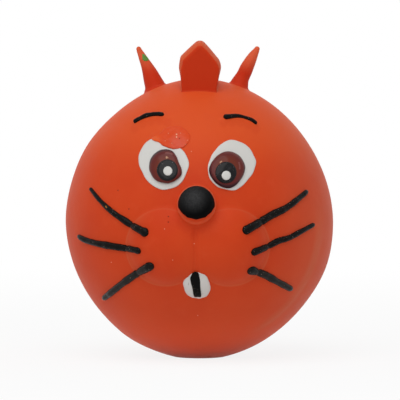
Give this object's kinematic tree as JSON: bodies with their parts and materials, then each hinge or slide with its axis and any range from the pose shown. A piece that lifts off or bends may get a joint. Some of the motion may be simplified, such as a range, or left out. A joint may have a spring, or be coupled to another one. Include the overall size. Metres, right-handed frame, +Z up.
{
  "type": "squeaky dog toy ball",
  "caption": "Hollow latex ball dog toy with a moulded, hand-painted animal face, pointed ears, a crest, and a reed squeaker plugged into its flat foot.",
  "frame": {"origin": "centre of the flat foot, on the squeaker's face plate, on the ball's upright axis", "axes": "+Z up through the ball and its crest, -Y towards the face, +X to the right of someone who looks at the face"},
  "size_m": [0.075, 0.0811, 0.0891],
  "materials": {
    "latex": "matte natural latex, orange-red",
    "latex_smear": "glossy translucent latex with fine bubbles",
    "black_paint": "satin black paint, raised strokes",
    "white_paint": "matte off-white paint",
    "iris_lacquer": "glossy dark red-brown lacquer dome",
    "pupil_lacquer": "glossy black lacquer",
    "green_paint": "stray green paint fleck",
    "squeaker_plastic": "natural white moulded plastic",
    "reed_bronze": "thin rolled bronze strip",
    "wadding": "white polyester wadding"
  },
  "bodies": {
    "toy": {"ball_skin": "latex", "crest": "latex", "ear_left": "latex", "ear_right": "latex", "fibre_filling": "wadding", "nose_paint": "black_paint", "eye_white_left": "white_paint", "eye_white_right": "white_paint", "iris_left": "iris_lacquer", "iris_right": "iris_lacquer", "pupil_left": "pupil_lacquer", "pupil_right": "pupil_lacquer", "glint_left": "white_paint", "glint_right": "white_paint", "brow_left": "black_paint", "brow_right": "black_paint", "whisker_left_upper": "black_paint", "whisker_left_middle": "black_paint", "whisker_left_lower": "black_paint", "whisker_right_upper": "black_paint", "whisker_right_middle": "black_paint", "whisker_right_lower": "black_paint", "tooth_paint": "white_paint", "tooth_line": "black_paint", "latex_smear": "latex_smear", "ear_paint_fleck": "green_paint", "squeaker_body": "squeaker_plastic", "reed_seat": "squeaker_plastic", "reed_clip": "squeaker_plastic", "squeaker_cap": "squeaker_plastic"},
    "reed": {"reed": "reed_bronze"}
  },
  "joints": [
    {"name": "reed_flex", "type": "hinge", "parent": "toy", "child": "reed", "pos_m": [0, 0.00028, 0.0041], "axis": [1, 0, 0], "range_deg": [-2, 6], "stiffness_Nm_per_rad": 0.006}
  ]
}
